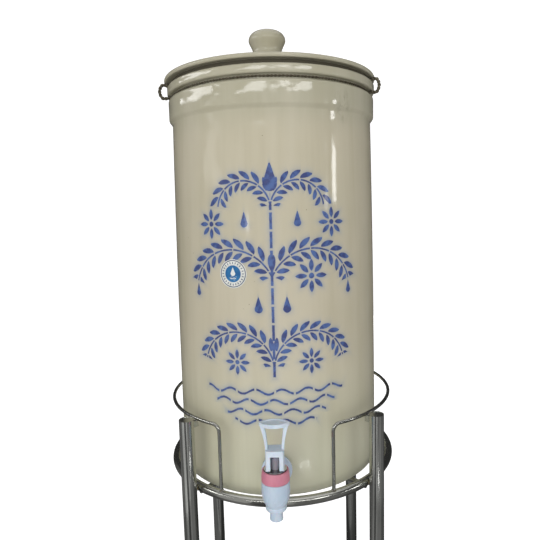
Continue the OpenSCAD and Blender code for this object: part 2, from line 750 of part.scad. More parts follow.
module upper_vessel() {
    color("wheat") on_stand() difference() {
        rotate_extrude($fn = 128) polygon(concat(
            [[0, vessel_base_z]],
            arc([vessel_r - vessel_edge_round, vessel_base_z + vessel_edge_round],
                vessel_edge_round, -90, 0, 6),
            [[vessel_r, vessel_seat_z], [groove_r, vessel_seat_z], [groove_r, rim_z]],
            arc([rim_r - rim_round, rim_z + rim_round], rim_round, -90, 0, 6),
            arc([rim_r - rim_round, rim_top_z - rim_round], rim_round, 0, 90, 6),
            arc([mouth_r + mouth_round, rim_top_z - mouth_round], mouth_round, 90, 180, 4),
            arc([mouth_r - vessel_fillet, vessel_floor_z + vessel_fillet], vessel_fillet, 0, -90, 6),
            [[0, vessel_floor_z]]));
        for (s = candle_sides) translate([s * candle_pitch / 2, 0, vessel_base_z - 1])
            cylinder(r = stud_r + stud_gap, h = vessel_floor + 2);
    }
}

module neck_wire() {
    color("dimgray") on_stand() translate([0, 0, ear_low_z])
        bent_rod(groove_r + neck_wire_r + seat_gap, neck_wire_r);
}

// Middle line of an ear in its upright plane: out of the groove, round the
// rim's edge and back in over the rim
function ear_point(t, out) =
    let (mid_z = (ear_low_z + ear_high_z) / 2, half_z = (ear_high_z - ear_low_z) / 2,
         bend_r = rim_r - rim_round, reach = rim_round + out, bow = PI * (half_z + reach) / 2,
         low = bend_r - ear_low_r, high = bend_r - ear_high_r, s = t * (low + bow + high))
    s < low ? [ear_low_r + s, ear_low_z]
    : s > low + bow ? [bend_r - (s - low - bow), ear_high_z]
    : let (a = -90 + 180 * (s - low) / bow, swell = ear_swell * (1 - cos(4 * a)) / 2)
        [bend_r + reach * cos(a), mid_z + half_z * sin(a) + (a < 0 ? -swell : swell)];

// One strand: it winds round the ear's middle line
module ear_strand(out, phase) {
    sides = 8;
    steps = 46;
    rings = [for (i = [0:steps]) let (t = i / steps, p = ear_point(t, out),
            q = ear_point(min(1, t + 0.01), out) - ear_point(max(0, t - 0.01), out),
            n = [q[1], -q[0]] / norm(q), w = phase + 360 * ear_turns * t)
        for (j = [0:sides - 1]) let (b = 360 * j / sides,
            u = wind_r * cos(w) + strand_r * cos(b), v = wind_r * sin(w) + strand_r * sin(b))
            [p[0] + n[0] * u, v, p[1] + n[1] * u]];
    polyhedron(rings, tube_faces(steps + 1, sides), convexity = 8);
}
module ear(turn, out) {
    color("dimgray") on_stand() rotate([0, 0, turn]) {
        ear_strand(out, 0);
        ear_strand(out, 180);
    }
}
module ear_left() { ear(180 + ear_left_turn, ear_left_out); }
module ear_right() { ear(-ear_right_turn, ear_right_out); }

// ---- candles ----

module candle_shell(side) {
    foot_z = candle_seat_z + candle_base_h;
    color("ivory") at_candles(side) translate([0, 0, foot_z]) rotate_extrude() polygon(concat(
        [[candle_r - candle_wall, 0], [candle_r, 0]],
        arc([0, candle_h - candle_r], candle_r, 0, 90, 12),
        arc([0, candle_h - candle_r], candle_r - candle_wall, 90, 0, 12)));
}
module candle_shell_left() { candle_shell(-1); }
module candle_shell_right() { candle_shell(1); }

module candle_base(side) {
    stud_foot = vessel_base_z - stud_drop;
    color("cornflowerblue") at_candles(side) rotate_extrude() polygon([
        [stud_hole_r, stud_foot], [stud_r - 0.6, stud_foot], [stud_r, stud_foot + 0.6],
        [stud_r, candle_seat_z], [candle_base_r - 1, candle_seat_z],
        [candle_base_r, candle_seat_z + 1], [candle_base_r, candle_seat_z + candle_base_h - 3],
        [candle_r + seat_gap, candle_seat_z + candle_base_h - seat_gap],
        [stud_hole_r, candle_seat_z + candle_base_h - seat_gap]]);
}
module candle_base_left() { candle_base(-1); }
module candle_base_right() { candle_base(1); }

// Washers above and below the vessel's floor
module candle_washers() {
    color("black") for (s = candle_sides) at_candles(s) {
        translate([0, 0, vessel_floor_z + eps]) washer(washer_r, stud_r + seat_gap, washer_t - 2 * eps);
        translate([0, 0, vessel_base_z - washer_t]) washer(washer_r, stud_r + seat_gap, washer_t - eps);
    }
}

module wing_nuts() {
    wing_tip = wing_reach * 0.65;
    color("cornflowerblue") for (s = candle_sides) at_candles(s)
        translate([0, 0, vessel_base_z - washer_t - wing_hub_h - eps]) difference() {
            union() {
                cylinder(r = wing_hub_r, h = wing_hub_h);
                translate([0, wing_t / 2, 0]) rotate([90, 0, 0]) linear_extrude(wing_t) polygon([
                    [-wing_reach, -wing_drop], [-wing_tip, -wing_drop], [-stud_r, wing_hub_h * 0.7],
                    [stud_r, wing_hub_h * 0.7], [wing_tip, -wing_drop], [wing_reach, -wing_drop],
                    [wing_hub_r, wing_hub_h - 1], [-wing_hub_r, wing_hub_h - 1]]);
            }
            translate([0, 0, -10]) cylinder(r = stud_r + seat_gap, h = wing_hub_h + 12);
        }
}

// ---- lid ----

// Cone with its seat and spigot, and a knob a little off its middle
module lid() {
    spigot_r = mouth_r - lid_spigot_gap;
    cave_r = spigot_r - 1.5 * lid_spigot_w;
    spigot_z = lid_seat_z - lid_spigot_h;
    edge_round = lid_edge_t / 2 - 0.1;
    knob_mid_z = knob_z + knob_h * 0.58;
    knob_flare = 3.6;
    knob_foot_z = knob_z - lid_slope * (knob_flare + knob_off) - 0.5;
    color("wheat") on_stand() translate([-lid_off, 0, 0]) {
        rotate_extrude($fn = 128) polygon(concat(
            [[0, knob_z - lid_t], [cave_r, lid_top_z + lid_slope * (cone_r - cave_r) - lid_t],
             [spigot_r - lid_spigot_w, spigot_z]],
            arc([spigot_r - 2, spigot_z + 2], 2, -90, 0, 4),
            [[spigot_r, lid_seat_z], [lid_seat_r, lid_seat_z], [lid_seat_r, lid_edge_z]],
            arc([lid_r - edge_round, lid_edge_z + edge_round], edge_round, -90, 0, 6),
            arc([lid_r - edge_round, lid_top_z - edge_round], edge_round, 0, 90 - atan(lid_slope), 6),
            [[knob_neck_r, knob_z], [0, knob_z]]));
        translate([-knob_off, 0, 0]) rotate_extrude($fn = 128) polygon(concat(
            [[0, knob_foot_z]],
            s_step([knob_neck_r + knob_flare, knob_foot_z], [knob_neck_r, knob_z + 4], 6),
            [for (i = [0:8]) let (t = i / 8)
                [knob_neck_r + (knob_r - knob_neck_r) * (1 - cos(150 * t)) / (1 - cos(150)),
                 knob_z + 4 + (knob_mid_z - knob_z - 4) * t]],
            [for (i = [1:12]) let (a = 90 * i / 12)
                [knob_r * pow(cos(a), 0.75), knob_mid_z + (knob_top_z - knob_mid_z) * pow(sin(a), 0.9)]]));
    }
}

support_ring();
guard_hoop();
leg_front_left();
leg_front_right();
leg_rear_left();
leg_rear_right();
leg_webs();
leg_plugs();
foot_caps();
cross_bar_long();
cross_bar_halves();
crock();
tap_body();
collar_nut();
stem_guide();
stem_seal();
outer_seal();
inner_seal();
lock_nut();
valve_spring();
valve_stem();
valve_plug();
tap_handle();
hinge_pin();
upper_vessel();
neck_wire();
ear_left();
ear_right();
candle_shell_left();
candle_shell_right();
candle_base_left();
candle_base_right();
candle_washers();
wing_nuts();
lid();
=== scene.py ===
"""Finishes, small fittings, light and camera for a stoneware gravity water filter on its steel stand."""

import json
import math

import bmesh
import bpy
from mathutils import Matrix, Vector


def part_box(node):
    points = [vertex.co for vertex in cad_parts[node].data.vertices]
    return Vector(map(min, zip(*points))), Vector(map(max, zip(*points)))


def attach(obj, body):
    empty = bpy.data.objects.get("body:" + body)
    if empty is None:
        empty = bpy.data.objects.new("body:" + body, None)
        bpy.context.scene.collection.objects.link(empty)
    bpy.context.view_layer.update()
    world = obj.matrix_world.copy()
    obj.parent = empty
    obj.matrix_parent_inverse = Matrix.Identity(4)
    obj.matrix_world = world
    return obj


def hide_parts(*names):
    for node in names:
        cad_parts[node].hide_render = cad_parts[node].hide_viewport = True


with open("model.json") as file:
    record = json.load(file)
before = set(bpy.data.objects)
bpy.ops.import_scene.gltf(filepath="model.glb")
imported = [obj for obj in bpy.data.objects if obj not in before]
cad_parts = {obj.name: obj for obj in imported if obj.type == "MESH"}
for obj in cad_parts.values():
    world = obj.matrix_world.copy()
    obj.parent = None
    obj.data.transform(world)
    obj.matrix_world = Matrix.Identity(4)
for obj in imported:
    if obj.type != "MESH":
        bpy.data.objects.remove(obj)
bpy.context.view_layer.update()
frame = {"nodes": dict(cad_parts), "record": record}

MM = 0.001
TAU = 2 * math.pi


# ---- Places and sizes, all from the frame ----


def middle(node):
    """The middle of a CAD node's box."""
    low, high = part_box(node)
    return (low + high) / 2


CROCK_LOW, CROCK_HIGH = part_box("crock")
CROCK_AXIS = middle("upper_vessel")
CROCK_BASE = CROCK_LOW.z
CROCK_R = 131 * MM      # the middling radius, on which the pattern is laid out
FOOT_R = 132.5 * MM
NECK_R = 128.75 * MM
NECK_UP = 441.0         # the collar's foot, in millimetres above the crock's
BELLY = 1.3 * MM
TAP_AXIS = middle("collar_nut")
CROCK_TURN = math.atan2(TAP_AXIS.x - CROCK_AXIS.x, CROCK_AXIS.y - TAP_AXIS.y)
RIM_LOW, RIM_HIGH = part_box("upper_vessel")
RIM_R = (RIM_HIGH.x - RIM_LOW.x) / 2
RING = middle("support_ring")
RING_LOW, RING_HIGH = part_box("support_ring")
RING_TUBE_R = (RING_HIGH.z - RING_LOW.z) / 2
RING_R = (RING_HIGH.x - RING_LOW.x) / 2 - RING_TUBE_R
HOOP_LOW, HOOP_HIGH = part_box("guard_hoop")
HOOP_WIRE_R = 2.125 * MM
LEGS = {name: middle(name) for name in
        ("leg_front_left", "leg_front_right", "leg_rear_left", "leg_rear_right")}
LEG_R = (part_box("leg_front_left")[1].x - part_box("leg_front_left")[0].x) / 2


def on_crock(around, up, out=0.0):
    """A point on the crock's wall: millimetres round it from the front, above its foot, and out from it."""
    angle = around * MM / CROCK_R + CROCK_TURN
    share = up / NECK_UP
    radius = FOOT_R + (NECK_R - FOOT_R) * share + 4 * BELLY * share * (1 - share) + out * MM
    return Vector((CROCK_AXIS.x + radius * math.sin(angle),
                   CROCK_AXIS.y - radius * math.cos(angle),
                   CROCK_BASE + up * MM))


# ---- Node trees ----


def feed(tree, socket, value):
    """Links a node's output into a socket, or sets the socket's own value."""
    if isinstance(value, Number):
        value = value.socket
    if isinstance(value, bpy.types.NodeSocket):
        tree.links.new(value, socket)
    else:
        socket.default_value = value


def add_node(tree, kind, inputs=(), **settings):
    """Adds one node, with its settings, and its inputs by name or number."""
    node = tree.nodes.new(kind)
    for name, value in settings.items():
        setattr(node, name, value)
    for key, value in dict(inputs).items():
        feed(tree, node.inputs[key], value)
    return node


class Number:
    """A number in a node tree. Arithmetic on it adds Math nodes."""

    def __init__(self, tree, socket):
        self.tree, self.socket = tree, socket

    def op(self, operation, *others):
        node = add_node(self.tree, "ShaderNodeMath", enumerate((self, *others)), operation=operation)
        return Number(self.tree, node.outputs[0])

    def __add__(self, other):
        return self.op("ADD", other)

    def __sub__(self, other):
        return self.op("SUBTRACT", other)

    def __mul__(self, other):
        return self.op("MULTIPLY", other)

    def __truediv__(self, other):
        return self.op("DIVIDE", other)

    def __neg__(self):
        return self.op("MULTIPLY", -1.0)

    def __abs__(self):
        return self.op("ABSOLUTE")

    def min(self, other):
        return self.op("MINIMUM", other)

    def max(self, other):
        return self.op("MAXIMUM", other)

    def hypot(self, other):
        return (self * self + other * other).op("SQRT")

    def fold(self, step):
        """The distance to the nearest multiple of step, with its sign."""
        return self - (self / step).op("ROUND") * step

    def fade(self, start, end):
        """0 at start and before it, 1 at end and past it, smooth between."""
        node = add_node(self.tree, "ShaderNodeMapRange",
                        {"Value": self, "From Min": start, "From Max": end},
                        interpolation_type="SMOOTHSTEP")
        return Number(self.tree, node.outputs["Result"])


class Finish:
    """A material being made: its node tree, its shader and its Object coordinates in metres."""

    def __init__(self, name, sockets):
        self.material = bpy.data.materials.new(name)
        self.material.use_nodes = True
        self.tree = self.material.node_tree
        self.shader = self.tree.nodes["Principled BSDF"]
        self.place = add_node(self.tree, "ShaderNodeTexCoord").outputs["Object"]
        for key, value in sockets.items():
            self.set(key, value)

    def set(self, key, value):
        feed(self.tree, self.shader.inputs[key], value)

    def xyz(self):
        split = add_node(self.tree, "ShaderNodeSeparateXYZ", {0: self.place})
        return [Number(self.tree, output) for output in split.outputs]

    def stretched(self, stretch):
        return add_node(self.tree, "ShaderNodeMapping", {"Vector": self.place, "Scale": stretch}).outputs[0]

    def noise(self, scale, detail=3.0, stretch=(1, 1, 1), roughness=0.5):
        node = add_node(self.tree, "ShaderNodeTexNoise",
                        {"Vector": self.stretched(stretch), "Scale": scale, "Detail": detail,
                         "Roughness": roughness})
        return Number(self.tree, node.outputs[0])

    def specks(self, scale, size, share):
        """1 inside small round specks, in that share of a grid's cells."""
        cells = add_node(self.tree, "ShaderNodeTexVoronoi", {"Vector": self.place, "Scale": scale})
        pick = add_node(self.tree, "ShaderNodeSeparateColor", {0: cells.outputs["Color"]})
        near = Number(self.tree, cells.outputs["Distance"]).fade(size, size * 0.5)
        return near * Number(self.tree, pick.outputs[0]).op("LESS_THAN", share)

    def blend(self, share, first, second, mode="MIX"):
        node = add_node(self.tree, "ShaderNodeMix", {0: share, 6: first, 7: second},
                        data_type="RGBA", blend_type=mode)
        return node.outputs[2]

    def bump(self, height, distance, strength=1.0):
        node = add_node(self.tree, "ShaderNodeBump",
                        {"Height": height, "Distance": distance, "Strength": strength})
        self.set("Normal", node.outputs[0])


def srgb(red, green, blue):
    """A colour given as 0 to 255 screen values, as linear RGBA."""
    def linear(value):
        value /= 255
        return value / 12.92 if value <= 0.04045 else ((value + 0.055) / 1.055) ** 2.4
    return (linear(red), linear(green), linear(blue), 1.0)


# ---- The blue stencil pattern, in millimetres: u round the crock, v up it ----


def turned(x, y, angle):
    """x and y in axes turned by an angle."""
    c, s = math.cos(angle), math.sin(angle)
    return x * c + y * s, y * c - x * s


def leaf(x, y, half_length, half_width):
    """Distance from a pointed leaf that lies along x."""
    curve = (half_length ** 2 + half_width ** 2) / (2 * half_width)
    return x.hypot(abs(y) + (curve - half_width)) - curve


def drop(x, y, radius, height):
    """Distance from a drop with its point up."""
    rise = y.max(0.0)
    squeeze = (rise * (-1 / height) + 1.0).max(0.12)
    return (x / squeeze).hypot(y.min(0.0)).max(rise - height * 0.9 + radius) - radius


def broken(shape, along, pitch, gap):
    """A shape with the bridges of a stencil left out at every pitch along it."""
    return shape.max(-(abs(along.fold(pitch)) - gap / 2))


def bough(u, v, centre_u, centre_v, radius, start, end, half_length):
    """A leafy bough to each side, bent round a centre, between two angles from straight up."""
    u, v = abs(u) - centre_u, v - centre_v
    out = u.hypot(v) - radius
    along = (u.op("ARCTAN2", v) - math.radians(start)) * radius
    spacing = half_length * 1.25
    leaf_x, leaf_y = turned(along.fold(spacing), abs(out) - half_length * 0.74, math.radians(38))
    leaves = leaf(leaf_x, leaf_y, half_length * 0.86, half_length * 0.30)
    stem = broken(abs(out) - 0.95, along - spacing / 2, spacing * 2, 1.6)
    span = (-along).max(along - math.radians(end - start) * radius)
    return leaves.min(stem).max(span)


def wave_rows(u, v, top_v, pitch, rows):
    """Rows of broken ripples, each row shorter than the one above."""
    row = ((-(v - top_v)) / pitch).op("ROUND").max(0.0).min(rows - 1.0)
    sway = ((u + row * 9.0) * (TAU / 30)).op("SINE") * 2.8
    line = abs(v - top_v + row * pitch - sway) * 0.85 - 1.15
    line = broken(line, u + row * 7.0, 22.5, 2.4)
    return line.max(abs(u) - 84.0 + row * 12.0)


def rosette(u, v, centre_u, centre_v, radius):
    """Eight petals round a dot."""
    u, v = u - centre_u, v - centre_v
    out = u.hypot(v)
    across = u.op("ARCTAN2", v).fold(TAU / 8) * out
    petals = leaf(out - radius * 0.64, across, radius * 0.36, radius * 0.15)
    return petals.min(out - radius * 0.17)


def stencil(finish):
    """Distance in millimetres from the painted shapes on the crock's front, a fountain of leafy boughs."""
    x, y, z = finish.xyz()
    x, y = x - CROCK_AXIS.x, y - CROCK_AXIS.y
    u = (x.op("ARCTAN2", -y) - CROCK_TURN) * (CROCK_R / MM)
    v = (z - CROCK_BASE) / MM
    stem = broken(abs(u) - 1.5, v - 142.0, 21.0, 2.6).max(abs(v - 240.0) - 98.0)
    # Places are millimetres from the front and above the foot. A bough has a centre, a bend,
    # two angles and half a leaf's length; a drop a radius and a height; a rosette a radius.
    shapes = [
        stem,
        drop(u, v - 361.0, 8.2, 25.0),
        bough(u, v, 31, 334, 31, -84, 84, 8.6),
        bough(u, v, 47, 238, 51, -66, 74, 10.0),
        bough(u, v, 43, 152, 43, -84, 78, 9.0),
        rosette(abs(u), v, 72, 318, 17),
        rosette(u, v, 45, 258, 19),
        rosette(abs(u), v, 43, 160, 15),
        drop(abs(u) - 30.0, v - 318.0, 4.2, 14.0),
        drop(abs(u) - 96.0, v - 238.0, 3.6, 12.0),
        drop(abs(u) - 16.0, v - 222.0, 4.6, 15.0),
        wave_rows(u, v, 126, 12.0, 4),
    ]
    nearest = shapes[0]
    for shape in shapes[1:]:
        nearest = nearest.min(shape)
    behind = y * 1000.0
    return nearest.max(behind)


# ---- Finishes ----


SMUDGE_AT = (81 * MM, 449 * MM)     # right of the crock's axis, and above its foot
SMUDGE_SIZE = (12 * MM, 24 * MM)


def salt_glaze(name, painted=False, lip_shade_below=None):
    """Cream stoneware under a clear glaze, with streaks and specks; a lighter, greener foot is painted
    light, a darker collar painted shade.

    painted adds the stencil and a smudge. The last argument is a height below which a lid's seat is painted
    dark as the shade under its lip, and made rougher and duller.
    """
    glaze = Finish(name, {"IOR": 1.5, "Specular IOR Level": 0.5})
    x, y, z = glaze.xyz()
    up = (z - CROCK_BASE) / (CROCK_HIGH.z - CROCK_BASE)
    runs = glaze.noise(26, 4, (1, 1, 0.07), 0.62)
    clouds = glaze.noise(5.5, 3)
    # Painted light and shade by height: the foot lighter and greener as painted light, the collar darker as
    # painted shade.
    colour = glaze.blend(up.fade(0.02, 0.42), srgb(208, 208, 184), srgb(198, 190, 168))
    colour = glaze.blend(up.fade(0.86, 0.97), colour, srgb(180, 176, 155))
    colour = glaze.blend(clouds.fade(0.38, 0.66) * 0.5, colour, srgb(184, 178, 152))
    colour = glaze.blend(runs.fade(0.42, 0.72) * 0.34, colour, srgb(206, 200, 182))
    colour = glaze.blend(runs.fade(0.52, 0.28) * 0.22, colour, srgb(166, 158, 132))
    rough = clouds.fade(0.3, 0.7) * 0.05 + 0.05
    if painted:
        edge = stencil(glaze) + (glaze.noise(420, 2) - 0.5) * 0.7
        patchy = glaze.noise(130, 3)
        spray = (edge.max(0.0) / -2.6).op("EXPONENT") * (patchy * 0.6 + 0.12)
        colour = glaze.blend(spray, colour, srgb(120, 140, 172))
        blue = glaze.blend(patchy.fade(0.34, 0.66), srgb(36, 54, 118), srgb(82, 106, 160))
        colour = glaze.blend(edge.fade(0.35, -0.35) * (patchy * 0.3 + 0.8).min(1.0), colour, blue)
        smear = glaze.noise(60, 4, (1, 1, 0.5), 0.7)
        across = (x - CROCK_AXIS.x - SMUDGE_AT[0]) / SMUDGE_SIZE[0]
        above = (z - CROCK_BASE - SMUDGE_AT[1]) / SMUDGE_SIZE[1]
        in_front = (-y).op("GREATER_THAN", 0.0)
        smudge = across.hypot(above).fade(1.0, 0.1) * smear.fade(0.36, 0.6) * in_front * 0.6
        colour = glaze.blend(smudge, colour, srgb(104, 98, 84))
    specks = glaze.specks(150, 0.09, 0.035)
    colour = glaze.blend(specks * 0.8, colour, srgb(92, 82, 62))
    if lip_shade_below is not None:
        # Painted shade under the lid's lip: its seat is darkened, and made rougher and duller.
        painted_lip_shade = z.fade(lip_shade_below + 0.6 * MM, lip_shade_below - 0.6 * MM)
        colour = glaze.blend(painted_lip_shade, colour, srgb(82, 78, 66))
        rough = rough + painted_lip_shade * 0.6
        glaze.set("Specular IOR Level", painted_lip_shade * -0.4 + 0.5)
    glaze.set("Base Color", colour)
    glaze.set("Roughness", rough)
    waves = glaze.noise(11, 2, (1, 1, 0.8)) * 4.0 + glaze.noise(34, 3, (1, 1, 0.8)) * 0.6
    peel = glaze.noise(650, 2) * 0.035
    glaze.bump(waves + peel - specks * 0.08, 0.00042)
    return glaze.material


def polished_steel(name, colour, roughness=0.17, grain=(1, 1, 0.03)):
    """Bright stainless tube with fine polishing lines, faint smears and a few scratches."""
    steel = Finish(name, {"Metallic": 1.0, "Anisotropic": 0.35})
    lines = steel.noise(900, 2, grain)
    smears = steel.noise(38, 4, (1, 1, 0.6), 0.65)
    scratch = steel.noise(260, 2, (1, 1, 0.05)).fade(0.70, 0.76)
    tone = steel.blend(smears.fade(0.35, 0.7) * 0.35, colour, tuple(c * 0.72 for c in colour[:3]) + (1,))
    steel.set("Base Color", steel.blend(scratch * 0.3, tone, srgb(225, 225, 222)))
    steel.set("Roughness", smears * 0.16 + lines * 0.07 + (roughness - 0.1))
    steel.bump(lines * 0.4 + smears * 1.5 + scratch, 0.00003)
    return steel.material


def weld_metal():
    """Ground weld: duller, with a straw and blue heat tint."""
    weld = Finish("weld_metal", {"Metallic": 1.0})
    patches = weld.noise(240, 3)
    tint = weld.blend(patches.fade(0.35, 0.6), srgb(150, 136, 104), srgb(176, 176, 172))
    weld.set("Base Color", weld.blend(patches.fade(0.62, 0.75) * 0.6, tint, srgb(96, 104, 126)))
    weld.set("Roughness", patches * 0.3 + 0.24)
    weld.bump(patches, 0.0002)
    return weld.material


def moulded_plastic(name, colour, shade, roughness=0.26, seam_x=None, clear=0.0):
    """Injection-moulded plastic: faint flow marks, a fine skin, and a parting line where there is one."""
    plastic = Finish(name, {"IOR": 1.48, "Subsurface Weight": 0.18, "Subsurface Scale": 0.004,
                            "Transmission Weight": clear})
    flow = plastic.noise(70, 3, (1, 1, 0.4))
    skin = plastic.noise(1500, 2)
    plastic.set("Base Color", plastic.blend(flow.fade(0.3, 0.75), colour, shade))
    plastic.set("Roughness", flow * 0.12 + (roughness - 0.05))
    height = skin * 0.05 + flow * 0.5
    if seam_x is not None:
        x = plastic.xyz()[0]
        height = height + abs(x - seam_x).fade(0.0004, 0.0001)
    plastic.bump(height, 0.00008)
    return plastic.material


def dark_rubber(name, colour):
    """Matt rubber with a dusty bloom and a pebbled skin."""
    rubber = Finish(name, {"Specular IOR Level": 0.3})
    bloom = rubber.noise(55, 4)
    skin = rubber.noise(1300, 2)
    rubber.set("Base Color", rubber.blend(bloom.fade(0.4, 0.8) * 0.5, colour, srgb(92, 90, 86)))
    rubber.set("Roughness", bloom * 0.2 + 0.55)
    rubber.bump(skin, 0.00006)
    return rubber.material


def iron_wire():
    """Oxidised wire: brown-grey, with pale spots painted in as glints."""
    wire = Finish("iron_wire", {"Metallic": 0.55})
    patches = wire.noise(320, 4, roughness=0.7)
    colour = wire.blend(patches.fade(0.3, 0.7), srgb(74, 68, 56), srgb(122, 116, 98))
    # Painted highlight: the pale spots stand for glints on the wire.
    wire.set("Base Color", wire.blend(patches.fade(0.68, 0.8) * 0.6, colour, srgb(176, 174, 160)))
    wire.set("Roughness", patches * 0.35 + 0.25)
    wire.bump(patches, 0.0001)
    return wire.material


def spring_wire():
    """Bright drawn wire."""
    wire = Finish("spring_wire", {"Metallic": 1.0})
    drawn = wire.noise(800, 2)
    wire.set("Base Color", wire.blend(drawn.fade(0.3, 0.7), srgb(150, 150, 148), srgb(190, 190, 188)))
    wire.set("Roughness", drawn * 0.15 + 0.2)
    return wire.material


def plated_metal():
    """Nickel plate with dark reflections and fine turning marks."""
    plate = Finish("plated_metal", {"Metallic": 1.0})
    marks = plate.noise(500, 2, (0.1, 0.1, 1))
    tone = plate.blend(marks.fade(0.35, 0.65), srgb(150, 150, 148), srgb(196, 197, 196))
    plate.set("Base Color", tone)
    plate.set("Roughness", marks * 0.12 + 0.08)
    plate.bump(marks, 0.00004)
    return plate.material


def porous_ceramic():
    """Unglazed candle: chalky, with fine pores and faint stains."""
    candle = Finish("porous_ceramic", {"Specular IOR Level": 0.2})
    stain = candle.noise(30, 4, (1, 1, 0.5))
    pores = candle.specks(900, 0.28, 0.3)
    colour = candle.blend(stain.fade(0.45, 0.8) * 0.5, srgb(232, 226, 210), srgb(206, 190, 158))
    candle.set("Base Color", candle.blend(pores * 0.4, colour, srgb(170, 160, 140)))
    candle.set("Roughness", stain * 0.1 + 0.8)
    candle.bump(candle.noise(700, 3) - pores * 0.5, 0.00015)
    return candle.material


def printed_sticker(centre):
    """A round label: a blue rim and disc on white, with a white drop over two ripples."""
    label = Finish("printed_sticker", {"Roughness": 0.3, "Specular IOR Level": 0.4})
    x, y, z = label.xyz()
    x, y = x - CROCK_AXIS.x, y - CROCK_AXIS.y
    u = (x.op("ARCTAN2", -y) - CROCK_TURN) * (CROCK_R / MM) - centre[0]
    v = (z - CROCK_BASE) / MM - centre[1]
    out = u.hypot(v)
    paper = label.noise(140, 3)
    white = label.blend(paper.fade(0.3, 0.7), srgb(206, 208, 202), srgb(224, 225, 220))
    blue = label.blend(paper.fade(0.3, 0.7), srgb(24, 92, 148), srgb(40, 116, 170))
    disc = (out - 9.6).fade(0.15, -0.15)
    rim = (abs(out - 15.0) - 0.45).fade(0.12, -0.12)
    across = u.op("ARCTAN2", v).fold(TAU / 24) * out
    ticks = (abs(out - 12.3) - 1.1).max(abs(across) - 0.45).fade(0.12, -0.12)
    colour = label.blend(disc, white, blue)
    colour = label.blend(rim.max(ticks), colour, srgb(30, 52, 96))
    ripple = abs((v + 5.2).fold(2.3) - (u * 1.1).op("SINE") * 0.45) - 0.42
    ripple = ripple.max(abs(v + 5.2) - 1.9).max(abs(u) - 5.4 - v * 0.3)
    figure = drop(u, v - 0.4, 2.9, 7.2).min(ripple)
    label.set("Base Color", label.blend(figure.fade(0.12, -0.12), colour, srgb(226, 228, 224)))
    label.bump(paper, 0.00005)
    return label.material


# ---- Pieces ----


def join_scene(name, mesh):
    """A new object that holds this mesh, in the scene."""
    piece = bpy.data.objects.new(name, mesh)
    bpy.context.scene.collection.objects.link(piece)
    return piece


def plain_mesh(name, source):
    """The finished mesh of an object with modifiers, as a new object; the old one goes."""
    bpy.context.view_layer.update()
    evaluated = source.evaluated_get(bpy.context.evaluated_depsgraph_get())
    piece = join_scene(name, bpy.data.meshes.new_from_object(evaluated))
    piece.data.name = name
    bpy.data.objects.remove(source)
    return piece


def merged_copy(name, node):
    """A copy of a CAD node with its loose triangles joined."""
    mesh = frame["nodes"][node].data.copy()
    if mesh.has_custom_normals:
        mesh.attributes.remove(mesh.attributes["custom_normal"])
    shape = bmesh.new()
    shape.from_mesh(mesh)
    bmesh.ops.remove_doubles(shape, verts=shape.verts, dist=0.002 * MM)
    shape.to_mesh(mesh)
    shape.free()
    return join_scene(name, mesh)


def smooth_shaded(piece, angle):
    """Shades a piece smooth, apart from edges sharper than an angle in degrees."""
    mesh = piece.data
    mesh.polygons.foreach_set("use_smooth", [True] * len(mesh.polygons))
    mesh.set_sharp_from_angle(angle=math.radians(angle))
    return piece


def soft_moulding(name, node, voxel, rounds):
    """A CAD node with its edges softened as a mould leaves them."""
    source = merged_copy(name + "_source", node)
    remesh = source.modifiers.new("even_skin", "REMESH")
    remesh.mode = "VOXEL"
    remesh.voxel_size = voxel * MM
    soften = source.modifiers.new("soft_edges", "SMOOTH")
    soften.factor = 0.5
    soften.iterations = rounds
    piece = plain_mesh(name, source)
    return smooth_shaded(piece, 180)


def dress(piece, material, node=None, body=None):
    """Gives a piece its material and body; one made for a CAD node stands for it."""
    piece.data.materials.clear()
    piece.data.materials.append(material)
    if node:
        body = next(b for b, members in frame["record"]["behaviour"]["bodies"].items() if node in members)
        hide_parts(node)
    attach(piece, body)
    return piece


def paint_node(node, material):
    """Puts a finish on a CAD node that keeps its own shape."""
    for slot in frame["nodes"][node].material_slots:
        slot.material = material


# ---- Geometry Nodes: wound wire, threads and weld ripples ----


def new_tree(name, sizes):
    """A geometry node tree with named inputs for its sizes."""
    tree = bpy.data.node_groups.new(name, "GeometryNodeTree")
    tree.interface.new_socket("Geometry", in_out="INPUT", socket_type="NodeSocketGeometry")
    tree.interface.new_socket("Geometry", in_out="OUTPUT", socket_type="NodeSocketGeometry")
    for size, kind in sizes.items():
        tree.interface.new_socket(size, in_out="INPUT", socket_type=kind)
    return tree, tree.nodes.new("NodeGroupInput"), tree.nodes.new("NodeGroupOutput")


def grown(name, path, tree, material, closed=False, **sizes):
    """Runs a tree along a path of points and returns the plain mesh that it makes."""
    edges = [(i, i + 1) for i in range(len(path) - 1)]
    if closed:
        edges.append((len(path) - 1, 0))
    mesh = bpy.data.meshes.new(name + "_path")
    mesh.from_pydata([tuple(p) for p in path], edges, [])
    source = join_scene(name + "_path", mesh)
    modifier = source.modifiers.new("grow", "NODES")
    modifier.node_group = tree
    for item in tree.interface.items_tree:
        key = item.name.lower().replace(" ", "_")
        if item.in_out == "INPUT" and key in sizes:
            modifier[item.identifier] = sizes[key]
        elif item.in_out == "INPUT" and key == "material":
            modifier[item.identifier] = material
    piece = plain_mesh(name, source)
    return smooth_shaded(piece, 60)


